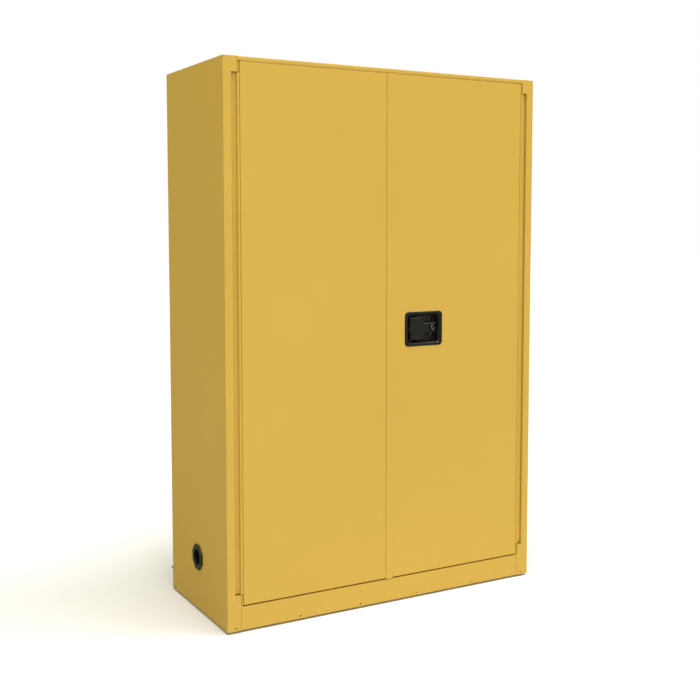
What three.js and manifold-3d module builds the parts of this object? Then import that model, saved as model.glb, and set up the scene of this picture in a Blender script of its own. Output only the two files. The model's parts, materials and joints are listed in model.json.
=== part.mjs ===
// A two-door flammable-liquids storage cabinet: double-walled sheet steel, continuous hinges, a paddle
// latch that drives three bolts, two shelves over a sump, two capped vents and four levelling feet.
// Millimetres. X is to the right, Y to the back, Z up. Inside the cabinet group, y = 0 is the plane of
// the door fronts, so y is the depth behind it. Left-hand pieces are drawn, right-hand ones mirrored.
import * as THREE from "three";
import { mergeVertices } from "three/addons/utils/BufferGeometryUtils.js";
import Module from "manifold-3d";

const wasm = await Module();
wasm.setup();

// Driving dimensions
const WIDTH = 1092;
const DEPTH = 457;
const HEIGHT = 1651;
const FLOOR_GAP = 7; // under the body, taken up by the feet
const SHEET = 1.2;
const GAP = 0.3; // between pieces that touch
const BEND = 1.9; // centreline radius of a bend
const AIR = 38; // air space in the double walls
const FRONT_PROUD = 2.5; // how far the latch stands in front of the doors
const BACK_PROUD = 14; // how far the ground stud stands out of the back

// Front frame
const HALF = WIDTH / 2;
const STILE_EDGE = 502.2; // inner edge of a stile, from the middle
const NOTCH_EDGE = 520; // outer wall of the hinge recess
const NOTCH_BOTTOM = 113;
const NOTCH_TOP = 1607;
const RECESS = 16; // depth of the hinge recess
const HEADER_UNDER = 1639;
const SILL_TOP = 76.5;
const STOP_DEPTH = 41; // front of the stop flange that the doors close in front of
const STOP_INNER = 482; // inner edge of the stop flange
const LIP_TOP = 97;
const CEILING = 1611.6;
const SUMP_FLOOR = 46.2;
const LINER_X = HALF - SHEET - AIR; // outer face of a side liner
const LINER_FRONT = 60;
const BACK_SHEET = DEPTH - 2 * SHEET - GAP; // front face of the back panel
const BACK_LINER = BACK_SHEET - AIR - SHEET; // front face of the back liner
const BACK_FLANGE = 22;
const SHEET_FLANGE = 20; // depth of the folds on the back edges of the top and base sheets
const LINER_BOTTOM = FLOOR_GAP + SHEET + 0.4; // liners stand on the base sheet
const LINER_TOP = HEIGHT - SHEET - GAP;
const TOP_LINER_FLANGE = 24;
const FIXING = { r: 2.6, z: 15, onSide: [-202, -67, 67, 202], onStile: -519, onSill: [-311, -104, 104, 311] };

// Doors and hinges
const DOOR_EDGE = 495; // outer edge of a door, from the middle
const DOOR_MEET = 2.5; // inner edge of a door
const DOOR_BOTTOM = 80.5;
const DOOR_TOP = 1637;
const DOOR_THICK = 38.6;
const AXIS_X = 499.8; // hinge axis
const AXIS_DEPTH = 3;
const BARREL_R = 4.5;
const PIN_R = 2;
const KNUCKLES = 11;
const LEAF = 1.6;
const HINGE_BOTTOM = NOTCH_BOTTOM + 1.5;
const HINGE_TOP = NOTCH_TOP - 1.5;

// Latch, on the right-hand door
const TRAY = { x0: 53, x1: 192, z0: 804, z1: 912, corner: 12 };
const CAVITY = { x0: 66, x1: 177, z0: 816, z1: 900, corner: 5 };
const TRAY_WALL = 1.8;
const TRAY_DEPTH = 24;
const PADDLE_AXIS = { x: 76, y: 8, pinR: 1.9, boreR: 2.3, barrelR: 3.6 };
const PLATE = { x0: 73, x1: 125, z0: 822, z1: 895, clipX: 9, clipZ: 15, face: -1.5, back: 5.5 };
const ARM = { x0: PLATE.x1 - 2, x1: 171, z0: 843, z1: 876, y0: 1.5, y1: 11, pocket: 13, pocketDepth: 3 };
const TAIL = { half: 1.5, reach: 27.2, z0: 826, z1: 836, wayX: [72, 91] };
const SPRING = { r: 3.4, wire: 0.7, turns: 5, z0: 850, z1: 870, roomR: 5 };
const LOCK = { x: 157.5, z: 859.5, r: 9.5, face: 0.5, back: 13, bore: 6.4 };
const PLUG = { r: 6.1, face: 0.8, back: 17.5, keyHalf: 0.7, keyHeight: 4, keyDepth: 9 };
const CAM = { half: 4.5, y0: 14.2, y1: 17.2, down: 23.5 };
const HUB = { x: 95, z: 866, r: 25, pinRadius: 20.92, pinR: 2.5, boss: 4, bore: 4.4 };
const HUB_BACK = 28.2;
const BOLT = { z0: 823, z1: 839, y0: 29.2, y1: 31.6, tip: -12, end: 104, armX: 86 };
const ROD_DEPTH = 33.7;
const ROD_R = 3.3;
const ROD_PLATE = 1.5; // half the thickness of a rod's flat end
const ROD_FLAT = 68; // length of the flat end beyond the hub, clear of the bolt when the rods are drawn in
const UPPER_ROD_X = 79;
const LOWER_ROD_X = 111;
const ROD_ENGAGE = 10; // how far a rod's tip stands out of the door
const GUIDE = { half: 12, front: 26, height: 14, z: { upper: 1540, lower: 170 } };
const STRIKE = { half: 22, y0: 20, y1: 40.4, thick: 3, hole: 5.2 };
const CENTRE_STRIKE = { y0: 22, y1: 37, z0: 806, z1: 856 };

// Inside
const STANDARD_Y = [92, 372]; // middle of the front and back shelf standards
const STANDARD_FACE = 496; // face of a standard, from the middle
const SLOT_BOTTOM = 150;
const SLOT_PITCH = 76.2;
const SLOTS = 19;
const STANDARD = { halfWidth: 12.5, z0: 120, z1: 1560, slotHalfWidth: 3, slotHalfHeight: 8 };
const RAIL = { up: 22, down: 8, tread: 18, beyond: 14, hookHalf: 1.5, hookHeight: 6, hookReach: 5 };
const SHELF_SLOTS = [5, 12]; // slots that the two pairs of rails hang in
const SHELF = { halfWidth: 492, y0: 60, y1: 404, lip: 28 };

// Vents: one low on the left, one high on the right
const VENT_Z = { left: 169, right: 1480 };
const VENT_HOLE = 31;
const VENT_BORE = 28;
const CAP_CORNER = 41.5; // centre to corner of the cap's octagon, which has level sides above and below
const CAP_THICK = 4.7;
const CAP_HOLLOW = 23.5;
const CAP_SHANK = 18; // reach of the cap's shank into the wall, and of the hollow in it
const CAP_FLOOR = 14;
const SCREEN = { thick: 1.5, rim: 25, barHalf: 0.8, bars: [-12, 0, 12] };

const FEET = { x: 490, y: [62, 395], padR: 19, padThick: 3, neckR: 9, neckTop: 5.5, stemR: 5, top: 38 };
const NUT = { r: 10, top: 17 }; // weld nuts that the feet screw into
const STUD = { x: -HALF + 11, z: 68, r: 3, washerR: 8, washerThick: 1.6, hubR: 5.5, hubBack: 9 };
const WING = { halfSpan: 12, halfHeight: 4, near: 5, far: 8 };

const paint = (color, roughness, metalness) => new THREE.MeshStandardMaterial({ color, roughness, metalness });
const YELLOW = paint(0xdbb552, 0.5, 0.1);
const INNER_YELLOW = paint(0xd2ab4c, 0.5, 0.1);
const GALVANISED = paint(0xa9adad, 0.45, 0.9);
const STEEL = paint(0x9a9a98, 0.35, 1);
const DARK_STEEL = paint(0x33322f, 0.35, 0.6);
const BLACK = paint(0x2b2a26, 0.5, 0.1);
const BRASS = paint(0xb5924c, 0.35, 1);

// Solids

function solid(geometry) {
  const bare = geometry.index ? geometry.toNonIndexed() : geometry.clone();
  bare.deleteAttribute("normal");
  bare.deleteAttribute("uv");
  const merged = mergeVertices(bare, 1e-3);
  return new wasm.Manifold(
    new wasm.Mesh({
      numProp: 3,
      vertProperties: merged.attributes.position.array,
      triVerts: new Uint32Array(merged.index.array),
    }),
  );
}

function geometryOf(manifold) {
  const mesh = manifold.getMesh();
  const geometry = new THREE.BufferGeometry();
  geometry.setAttribute("position", new THREE.BufferAttribute(mesh.vertProperties, 3));
  geometry.setIndex(new THREE.BufferAttribute(mesh.triVerts, 1));
  geometry.computeVertexNormals();
  return geometry;
}

const join = (first, ...rest) => geometryOf(rest.reduce((sum, g) => sum.add(solid(g)), solid(first)));
const cut = (first, ...rest) => geometryOf(rest.reduce((sum, g) => sum.subtract(solid(g)), solid(first)));

function box(x0, x1, y0, y1, z0, z1) {
  const geometry = new THREE.BoxGeometry(x1 - x0, y1 - y0, z1 - z0);
  return geometry.translate((x0 + x1) / 2, (y0 + y1) / 2, (z0 + z1) / 2);
}

// How a drawing plane's two axes and its extrusion turn into X, Y and Z.
const PLANES = {
  xy: new THREE.Matrix4(),
  yz: new THREE.Matrix4().set(0, 0, 1, 0, 1, 0, 0, 0, 0, 1, 0, 0, 0, 0, 0, 1),
  xz: new THREE.Matrix4().set(1, 0, 0, 0, 0, 0, -1, 0, 0, 1, 0, 0, 0, 0, 0, 1),
};

// A closed outline [[a, b], ...] in a plane, extruded between two places on the third axis.
function prism(plane, outline, from, to, holes = []) {
  const shape = new THREE.Shape(outline.map(([a, b]) => new THREE.Vector2(a, b)));
  shape.holes = holes.map((hole) => new THREE.Path(hole.map(([a, b]) => new THREE.Vector2(a, b))));
  const geometry = new THREE.ExtrudeGeometry(shape, { depth: to - from, bevelEnabled: false });
  geometry.applyMatrix4(PLANES[plane]);
  if (plane === "xy") return geometry.translate(0, 0, from);
  return plane === "yz" ? geometry.translate(from, 0, 0) : geometry.translate(0, to, 0);
}

function circle(a, b, radius, sides, turn = 0) {
  return Array.from({ length: sides }, (_, i) => {
    const angle = turn + (i * 2 * Math.PI) / sides;
    return [a + radius * Math.cos(angle), b + radius * Math.sin(angle)];
  });
}

const rectangle = (a0, a1, b0, b1) => [[a0, b0], [a1, b0], [a1, b1], [a0, b1]];

function roundedRectangle({ x0, x1, z0, z1, corner }, steps = 4) {
  const centres = [[x1 - corner, z1 - corner], [x0 + corner, z1 - corner]];
  centres.push([x0 + corner, z0 + corner], [x1 - corner, z0 + corner]);
  return centres.flatMap(([x, z], quarter) =>
    Array.from({ length: steps + 1 }, (_, i) => {
      const angle = ((quarter + i / steps) * Math.PI) / 2;
      return [x + corner * Math.cos(angle), z + corner * Math.sin(angle)];
    }),
  );
}

// The outline of a sheet that follows a centreline of straight runs, with a rounded bend at each corner.
function bentSheet(path, steps = 3, thickness = SHEET) {
  const points = path.map(([a, b]) => new THREE.Vector2(a, b));
  const along = points.slice(1).map((p, i) => p.clone().sub(points[i]).normalize());
  const leftOf = (v) => new THREE.Vector2(-v.y, v.x);
  const centreline = [{ at: points[0], left: leftOf(along[0]) }];
  for (let i = 1; i < points.length - 1; i++) {
    const [before, after] = [along[i - 1], along[i]];
    const turn = Math.atan2(before.cross(after), before.dot(after));
    const side = Math.sign(turn);
    const start = points[i].clone().addScaledVector(before, -BEND * Math.tan(Math.abs(turn) / 2));
    const centre = start.clone().addScaledVector(leftOf(before), side * BEND);
    for (let k = 0; k <= steps; k++) {
      const left = leftOf(before).rotateAround(new THREE.Vector2(), (turn * k) / steps);
      centreline.push({ at: centre.clone().addScaledVector(left, -side * BEND), left });
    }
  }
  centreline.push({ at: points.at(-1), left: leftOf(along.at(-1)) });
  const offset = (distance) =>
    centreline.map(({ at, left }) => at.clone().addScaledVector(left, distance).toArray());
  return [...offset(thickness / 2), ...offset(-thickness / 2).reverse()];
}

// The scene graph

const root = new THREE.Group();
root.position.y = (FRONT_PROUD - BACK_PROUD - DEPTH) / 2;

function add(name, geometry, material, mirrored = false) {
  const mesh = new THREE.Mesh(geometry, material);
  mesh.name = name;
  if (mirrored) mesh.scale.x = -1;
  root.add(mesh);
}

// Adds the left-hand piece that make() draws, and its mirror image.
function addPair(name, make, material) {
  for (const side of ["left", "right"]) add(side + "_" + name, make(side), material, side === "right");
}

const HALF_SHEET = SHEET / 2;
const MIDDLE = DEPTH / 2;
const fixing = (plane, a, from, to) => prism(plane, circle(a, FIXING.z, FIXING.r, 8), from, to);

// Side panel: back flange, side, front corner, stile; the stile is cut back round the hinge recess.
function sidePanel(side) {
  const section = (edge) =>
    bentSheet([
      [-HALF + BACK_FLANGE, DEPTH - HALF_SHEET],
      [-HALF + HALF_SHEET, DEPTH - HALF_SHEET],
      [-HALF + HALF_SHEET, HALF_SHEET],
      [-edge - HALF_SHEET, HALF_SHEET],
      [-edge - HALF_SHEET, RECESS],
    ]);
  const panel = join(
    prism("xy", section(STILE_EDGE), FLOOR_GAP, NOTCH_BOTTOM),
    prism("xy", section(NOTCH_EDGE), NOTCH_BOTTOM, NOTCH_TOP),
    prism("xy", section(STILE_EDGE), NOTCH_TOP, HEIGHT),
  );
  const fixings = FIXING.onSide.map((y) => fixing("yz", MIDDLE + y, -HALF - 1, -HALF + 3));
  const vent = prism("yz", circle(MIDDLE, VENT_Z[side], VENT_HOLE, 24), -HALF - 1, -HALF + 3);
  // the fold behind the stile stops short of the top and base sheets
  const relief = (z0, z1) => box(-STILE_EDGE - 2, -STILE_EDGE + 1, SHEET + 0.4, RECESS + 1, z0, z1);
  const reliefs = [
    relief(FLOOR_GAP - 1, FLOOR_GAP + SHEET + GAP),
    relief(HEIGHT - SHEET - GAP, HEIGHT + 1),
  ];
  return cut(panel, ...fixings, fixing("xz", FIXING.onStile, -1, 3), vent, ...reliefs);
}
addPair("side_panel", sidePanel, YELLOW);

// Top sheet with a flange down the back, and the header: face, underside and stop flange in one fold.
const INSIDE = HALF - SHEET - GAP;
const headerHalf = STILE_EDGE - GAP;
// a sheet that lies between the side panels, its front corners cut off to clear their bends
const CORNER = 1.4;
const levelSheet = (y0, z0) =>
  prism(
    "xy",
    [
      [-INSIDE + CORNER, y0],
      [INSIDE - CORNER, y0],
      [INSIDE, y0 + CORNER],
      [INSIDE, BACK_SHEET - GAP],
      [-INSIDE, BACK_SHEET - GAP],
      [-INSIDE, y0 + CORNER],
    ],
    z0,
    z0 + SHEET,
  );
const backHalf = HALF - BACK_FLANGE - GAP;
const topBack = bentSheet([
  [BACK_SHEET - SHEET_FLANGE, HEIGHT - HALF_SHEET],
  [DEPTH - HALF_SHEET, HEIGHT - HALF_SHEET],
  [DEPTH - HALF_SHEET, HEIGHT - SHEET_FLANGE],
]);
const header = bentSheet([
  [30, HEIGHT - HALF_SHEET],
  [HALF_SHEET, HEIGHT - HALF_SHEET],
  [HALF_SHEET, HEADER_UNDER + HALF_SHEET],
  [STOP_DEPTH + HALF_SHEET, HEADER_UNDER + HALF_SHEET],
  [STOP_DEPTH + HALF_SHEET, CEILING + GAP],
]);
const upperRodHole = prism("xy", circle(UPPER_ROD_X, ROD_DEPTH, 6, 12), HEADER_UNDER - 1, HEADER_UNDER + 3);
const stopEnds = [-1, 1].map((s) => {
  const ends = [s * (STOP_INNER - GAP), s * (headerHalf + 1)].sort((a, b) => a - b);
  return (z0, z1) => box(...ends, STOP_DEPTH - 2, STOP_DEPTH + 3, z0, z1);
});
add(
  "top_panel",
  cut(
    join(
      levelSheet(SHEET + GAP + 0.2, HEIGHT - SHEET),
      prism("yz", header, -headerHalf, headerHalf),
      prism("yz", topBack, -backHalf, backHalf),
    ),
    upperRodHole,
    ...stopEnds.map((end) => end(CEILING - 1, HEADER_UNDER)),
  ),
  YELLOW,
);

// Sill: face, top and raised lip in one fold. The lip keeps a spill in and is the doors' bottom stop.
const sill = bentSheet([
  [SHEET + HALF_SHEET, FLOOR_GAP],
  [SHEET + HALF_SHEET, SILL_TOP - HALF_SHEET],
  [STOP_DEPTH + HALF_SHEET, SILL_TOP - HALF_SHEET],
  [STOP_DEPTH + HALF_SHEET, LIP_TOP],
]);
const lowerRodHole = prism("xy", circle(LOWER_ROD_X, ROD_DEPTH, 6, 12), SILL_TOP - 3, SILL_TOP + 1);
add(
  "sill_panel",
  cut(
    prism("yz", sill, -headerHalf, headerHalf),
    lowerRodHole,
    ...stopEnds.map((end) => end(SILL_TOP, LIP_TOP + 1)),
    ...FIXING.onSill.map((x) => fixing("xz", x, 0, 4)),
  ),
  YELLOW,
);

// Back and base
const backPanelHalf = INSIDE - CORNER;
const backPanelEnds = [FLOOR_GAP + SHEET + CORNER, HEIGHT - SHEET - CORNER];
add(
  "back_panel",
  box(-backPanelHalf, backPanelHalf, BACK_SHEET, BACK_SHEET + SHEET, ...backPanelEnds),
  YELLOW,
);
const feet = FEET.y.flatMap((y) => [[-FEET.x, y], [FEET.x, y]]);
const weldNut = ([x, y]) => prism("xy", circle(x, y, NUT.r, 6), FLOOR_GAP + HALF_SHEET, NUT.top);
const baseFlange = bentSheet([
  [BACK_SHEET - SHEET_FLANGE, FLOOR_GAP + HALF_SHEET],
  [DEPTH - HALF_SHEET, FLOOR_GAP + HALF_SHEET],
  [DEPTH - HALF_SHEET, FLOOR_GAP + SHEET_FLANGE],
]);
add(
  "base_panel",
  cut(
    join(
      levelSheet(2 * SHEET + GAP + 0.1, FLOOR_GAP),
      prism("yz", baseFlange, -backHalf, backHalf),
      ...feet.map(weldNut),
    ),
    ...feet.map(([x, y]) => prism("xy", circle(x, y, FEET.stemR + 0.4, 12), 0, 20)),
  ),
  YELLOW,
);

// Jamb: floor of the hinge recess, wall, and the stop flange that the door closes in front of.
// Above and below the recess it comes forward to close the gap beside the door.
function jamb() {
  const wall = -STILE_EDGE + GAP + HALF_SHEET + 0.7;
  const main = bentSheet([
    [-NOTCH_EDGE - 10, RECESS + GAP + HALF_SHEET],
    [wall, RECESS + GAP + HALF_SHEET],
    [wall, STOP_DEPTH + HALF_SHEET],
    [-STOP_INNER - HALF_SHEET, STOP_DEPTH + HALF_SHEET],
    [-STOP_INNER - HALF_SHEET, STOP_DEPTH + 14],
  ]);
  const filler = bentSheet([
    [wall, RECESS + 8],
    [wall, AXIS_DEPTH + 0.8],
    [-DOOR_EDGE - 1.4, AXIS_DEPTH + 0.8],
  ]);
  const [bottom, top] = [SILL_TOP + GAP, HEADER_UNDER - GAP];
  // the stop flange's lip leaves room for the sump tray and the ceiling
  const lipEnd = (z0, z1) => box(-STOP_INNER - 2, -STOP_INNER + 1, STOP_DEPTH + 1.6, STOP_DEPTH + 20, z0, z1);
  return cut(
    join(
      prism("xy", main, bottom, top),
      prism("xy", filler, bottom, NOTCH_BOTTOM - 0.5),
      prism("xy", filler, NOTCH_TOP + 0.5, top),
    ),
    lipEnd(bottom - 1, LIP_TOP + 1.5),
    lipEnd(CEILING - 2, top + 1),
  );
}
addPair("jamb", jamb, YELLOW);

// Liners: the inner walls, 38 mm inside the outer ones
function sideLiner(side) {
  const outer = -HALF + SHEET + 0.8;
  const wall = -LINER_X + HALF_SHEET;
  const section = bentSheet([
    [outer, LINER_FRONT + HALF_SHEET],
    [wall, LINER_FRONT + HALF_SHEET],
    [wall, BACK_SHEET - GAP - HALF_SHEET],
    [outer, BACK_SHEET - GAP - HALF_SHEET],
  ]);
  const vent = prism("yz", circle(MIDDLE, VENT_Z[side], VENT_HOLE, 24), wall - 5, wall + 5);
  return cut(prism("xy", section, LINER_BOTTOM, LINER_TOP), vent);
}
addPair("liner", sideLiner, INNER_YELLOW);

const linerInner = LINER_X - SHEET - 0.4;
const topLiner = bentSheet([
  [STOP_DEPTH + 2.6, CEILING + TOP_LINER_FLANGE],
  [STOP_DEPTH + 2.6, CEILING - HALF_SHEET],
  [BACK_LINER - 1, CEILING - HALF_SHEET],
  [BACK_LINER - 1, CEILING + TOP_LINER_FLANGE],
]);
add("top_liner", prism("yz", topLiner, -linerInner, linerInner), INNER_YELLOW);
const backLiner = bentSheet([
  [-linerInner + HALF_SHEET, BACK_SHEET - 2],
  [-linerInner + HALF_SHEET, BACK_LINER + HALF_SHEET],
  [linerInner - HALF_SHEET, BACK_LINER + HALF_SHEET],
  [linerInner - HALF_SHEET, BACK_SHEET - 2],
]);
add("back_liner", prism("xy", backLiner, LINER_BOTTOM, LINER_TOP), INNER_YELLOW);

// An open pan: a box with one side left out. The opening is the low or high end of one axis.
function pan([x0, x1], [y0, y1], [z0, z1], open) {
  const inner = [x0 + SHEET, x1 - SHEET, y0 + SHEET, y1 - SHEET, z0 + SHEET, z1 - SHEET];
  const ends = { front: [2, y0 - 1], back: [3, y1 + 1], top: [5, z1 + 1] };
  const [place, value] = ends[open];
  inner[place] = value;
  return cut(box(x0, x1, y0, y1, z0, z1), box(...inner));
}
add(
  "sump_tray",
  pan([-linerInner, linerInner], [STOP_DEPTH + 2, BACK_LINER - 0.4], [SUMP_FLOOR, LIP_TOP], "top"),
  INNER_YELLOW,
);

// Shelf standards: slotted channels on the side liners
const slotZ = (i) => SLOT_BOTTOM + i * SLOT_PITCH;
function standard(middle) {
  const section = bentSheet(
    [
      [-LINER_X + SHEET + GAP, middle - STANDARD.halfWidth],
      [-STANDARD_FACE - HALF_SHEET, middle - STANDARD.halfWidth],
      [-STANDARD_FACE - HALF_SHEET, middle + STANDARD.halfWidth],
      [-LINER_X + SHEET + GAP, middle + STANDARD.halfWidth],
    ],
    1,
  );
  const across = [middle - STANDARD.slotHalfWidth, middle + STANDARD.slotHalfWidth];
  const slots = Array.from({ length: SLOTS }, (_, i) => {
    const upright = [slotZ(i) - STANDARD.slotHalfHeight, slotZ(i) + STANDARD.slotHalfHeight];
    return box(-STANDARD_FACE - 3, -STANDARD_FACE + 1, ...across, ...upright);
  });
  return cut(prism("xy", section, STANDARD.z0, STANDARD.z1), ...slots);
}
addPair("front_standard", () => standard(STANDARD_Y[0]), GALVANISED);
addPair("back_standard", () => standard(STANDARD_Y[1]), GALVANISED);

// Shelf rails: an angle with a hook at each end, and the shelves, spill trays that lift off the rails
const RAIL_FACE = STANDARD_FACE - GAP;
function rail(z) {
  const section = bentSheet(
    [
      [-RAIL_FACE + HALF_SHEET, z + RAIL.up],
      [-RAIL_FACE + HALF_SHEET, z - RAIL.down],
      [-RAIL_FACE + RAIL.tread, z - RAIL.down],
    ],
    1,
  );
  // the section is drawn in X and Z, and runs from the front standard to the back one
  const angle = prism("xz", section, STANDARD_Y[0] - RAIL.beyond, STANDARD_Y[1] + RAIL.beyond);
  const upright = [z - RAIL.hookHeight, z + RAIL.hookHeight];
  const hooks = STANDARD_Y.map((y) =>
    box(-RAIL_FACE - RAIL.hookReach, -RAIL_FACE + 0.8, y - RAIL.hookHalf, y + RAIL.hookHalf, ...upright),
  );
  return join(angle, ...hooks);
}
SHELF_SLOTS.forEach((slot, i) => {
  const level = ["lower", "upper"][i];
  addPair(level + "_shelf_rail", () => rail(slotZ(slot)), GALVANISED);
  const bottom = slotZ(slot) - RAIL.down + HALF_SHEET + GAP;
  const shelf = pan(
    [-SHELF.halfWidth, SHELF.halfWidth],
    [SHELF.y0, SHELF.y1],
    [bottom, bottom + SHELF.lip],
    "top",
  );
  add(level + "_shelf", shelf, GALVANISED);
});

// Vents: a sleeve through the double wall, a flame screen in it, and a screwed cap with a hollow middle
function sleeve(side) {
  const ring = (r) => circle(MIDDLE, VENT_Z[side], r, 24);
  return prism("yz", ring(VENT_HOLE - 0.5), -HALF + GAP, -LINER_X + 2.4, [ring(VENT_BORE)]);
}
function flameScreen(side) {
  const [y, z] = [MIDDLE, VENT_Z[side]];
  const place = [-LINER_X - SCREEN.thick, -LINER_X];
  const ring = prism("yz", circle(y, z, VENT_BORE - GAP, 24), ...place, [circle(y, z, SCREEN.rim, 24)]);
  const bars = SCREEN.bars.flatMap((offset) => {
    const reach = Math.sqrt((SCREEN.rim + 1) ** 2 - offset ** 2);
    const across = (middle) => [middle + offset - SCREEN.barHalf, middle + offset + SCREEN.barHalf];
    return [box(...place, ...across(y), z - reach, z + reach), box(...place, y - reach, y + reach, ...across(z))];
  });
  return join(ring, ...bars);
}
function ventCap(side) {
  const [y, z] = [MIDDLE, VENT_Z[side]];
  const face = -HALF - GAP;
  const head = prism("yz", circle(y, z, CAP_CORNER, 8, Math.PI / 8), face - CAP_THICK, face);
  const shank = prism("yz", circle(y, z, VENT_BORE - 2 * GAP, 24), face - 1, -HALF + CAP_SHANK);
  const hollow = prism("yz", circle(y, z, CAP_HOLLOW, 24), face - CAP_THICK - 1, -HALF + CAP_FLOOR);
  return cut(join(head, shank), hollow);
}
addPair("vent_sleeve", sleeve, YELLOW);
addPair("flame_screen", flameScreen, STEEL);
addPair("vent_cap", ventCap, BLACK);

// Ground stud with its washer and wing nut, through the left-hand back flange
function groundStud() {
  const back = DEPTH + GAP;
  const round = (r, sides, from, to) => prism("xz", circle(STUD.x, STUD.z, r, sides), from, to);
  const upright = [STUD.z - WING.halfHeight, STUD.z + WING.halfHeight];
  return join(
    round(STUD.r, 8, back, DEPTH + BACK_PROUD),
    round(STUD.washerR, 12, back, back + STUD.washerThick),
    round(STUD.hubR, 8, back + 1, back + STUD.hubBack),
    box(STUD.x - WING.halfSpan, STUD.x + WING.halfSpan, back + WING.near, back + WING.far, ...upright),
  );
}
add("ground_stud", groundStud(), BRASS);

// Levelling feet
feet.forEach(([x, y]) => {
  const pad = [[0, 0], [FEET.padR, 0], [FEET.padR, FEET.padThick], [FEET.neckR, FEET.neckTop]];
  const profile = [...pad, [FEET.stemR, FEET.neckTop], [FEET.stemR, FEET.top], [0, FEET.top]];
  const foot = new THREE.LatheGeometry(profile.map(([r, h]) => new THREE.Vector2(r, h)), 12);
  foot.rotateX(Math.PI / 2).translate(x, y, 0);
  add((y < MIDDLE ? "front" : "back") + (x < 0 ? "_left" : "_right") + "_foot", foot, STEEL);
});

// Continuous hinges. Knuckles alternate between the frame leaf and the door leaf, on one pin.
const KNUCKLE = (HINGE_TOP - HINGE_BOTTOM) / KNUCKLES;
const ring = (r) => circle(-AXIS_X, AXIS_DEPTH, r, 8, Math.PI / 8);
function hingeLeaf(section, parity) {
  const knuckles = [];
  const clearances = [];
  for (let i = 0; i < KNUCKLES; i++) {
    const [z0, z1] = [HINGE_BOTTOM + i * KNUCKLE, HINGE_BOTTOM + (i + 1) * KNUCKLE];
    if (i % 2 === parity) knuckles.push(prism("xy", ring(BARREL_R), z0 + GAP, z1 - GAP));
    else clearances.push(prism("xy", circle(-AXIS_X, AXIS_DEPTH, BARREL_R + 1.6, 12), z0 - GAP, z1 + GAP));
  }
  const bore = prism("xy", ring(PIN_R + 0.35), HINGE_BOTTOM - 1, HINGE_TOP + 1);
  return cut(join(cut(section, ...clearances), ...knuckles), bore);
}
function frameLeaf() {
  const outer = -AXIS_X - BARREL_R + LEAF / 2;
  const section = bentSheet(
    [
      [outer, AXIS_DEPTH],
      [outer, RECESS - LEAF / 2],
      [-NOTCH_EDGE + 1.5, RECESS - LEAF / 2],
    ],
    2,
    LEAF,
  );
  return hingeLeaf(prism("xy", section, HINGE_BOTTOM, HINGE_TOP), 0);
}
function doorLeaf() {
  const inner = -DOOR_EDGE - GAP;
  return hingeLeaf(box(inner - LEAF, inner, AXIS_DEPTH, 35, HINGE_BOTTOM, HINGE_TOP), 1);
}
addPair("hinge_frame_leaf", frameLeaf, YELLOW);
addPair("hinge_door_leaf", doorLeaf, YELLOW);
addPair("hinge_pin", () => prism("xy", ring(PIN_R), HINGE_BOTTOM - 0.5, HINGE_TOP + 0.5), STEEL);

// Doors: an outer skin folded back all round, and an inner pan set into it
const skin = pan([-DOOR_EDGE, -DOOR_MEET], [0, DOOR_THICK], [DOOR_BOTTOM, DOOR_TOP], "back");
const inner = SHEET + GAP;
const doorPan = pan(
  [-DOOR_EDGE + inner, -DOOR_MEET - inner],
  [24, DOOR_THICK],
  [DOOR_BOTTOM + inner, DOOR_TOP - inner],
  "front",
);
const boltWay = (x0, x1) => box(x0, x1, BOLT.y0 - 1, BOLT.y1 + 1, BOLT.z0 - 1.5, BOLT.z1 + 1.5);
const mirror = (geometry) => {
  const flipped = geometry.clone().applyMatrix4(new THREE.Matrix4().makeScale(-1, 1, 1));
  const index = flipped.index.array;
  for (let i = 0; i < index.length; i += 3) [index[i + 1], index[i + 2]] = [index[i + 2], index[i + 1]];
  return flipped;
};
const rodWay = (x, z) => prism("xy", circle(x, ROD_DEPTH, ROD_R + 0.5, 12), z - 4, z + 4);
const rodWays = [rodWay(UPPER_ROD_X, DOOR_TOP), rodWay(LOWER_ROD_X, DOOR_BOTTOM)];
const trayCut = roundedRectangle({
  x0: CAVITY.x0 - TRAY_WALL - 0.6,
  x1: CAVITY.x1 + TRAY_WALL + 0.6,
  z0: CAVITY.z0 - TRAY_WALL - 0.6,
  z1: CAVITY.z1 + TRAY_WALL + 0.6,
  corner: CAVITY.corner + TRAY_WALL,
});
add("left_door_skin", cut(skin, boltWay(-10, 0)), YELLOW);
add("left_door_pan", cut(doorPan, boltWay(-10, 0)), INNER_YELLOW);
add(
  "right_door_skin",
  cut(mirror(skin), boltWay(0, 10), ...rodWays, prism("xz", trayCut, -1, 4)),
  YELLOW,
);
add("right_door_pan", cut(mirror(doorPan), boltWay(0, 10), ...rodWays), INNER_YELLOW);
add("astragal", box(-13, 9.5, -2, -GAP, DOOR_BOTTOM - 2.5, DOOR_TOP), YELLOW);

// Strikes for the three bolts
const strikePlate = (x, z) => {
  const outline = rectangle(x - STRIKE.half, x + STRIKE.half, STRIKE.y0, STRIKE.y1);
  return prism("xy", outline, z, z + STRIKE.thick, [circle(x, ROD_DEPTH, STRIKE.hole, 12)]);
};
add("upper_strike", strikePlate(UPPER_ROD_X, HEADER_UNDER + SHEET + GAP), STEEL);
add("lower_strike", strikePlate(LOWER_ROD_X, SILL_TOP - SHEET - GAP - STRIKE.thick), STEEL);
const strikeX = -DOOR_MEET - inner - SHEET - GAP;
const { y0: strikeFront, y1: strikeBack, z0: strikeBottom, z1: strikeTop } = CENTRE_STRIKE;
const catchPlate = box(strikeX - STRIKE.thick, strikeX, strikeFront, strikeBack, strikeBottom, strikeTop);
add("centre_strike", cut(catchPlate, boltWay(strikeX - STRIKE.thick - 1, strikeX + 1)), STEEL);

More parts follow.
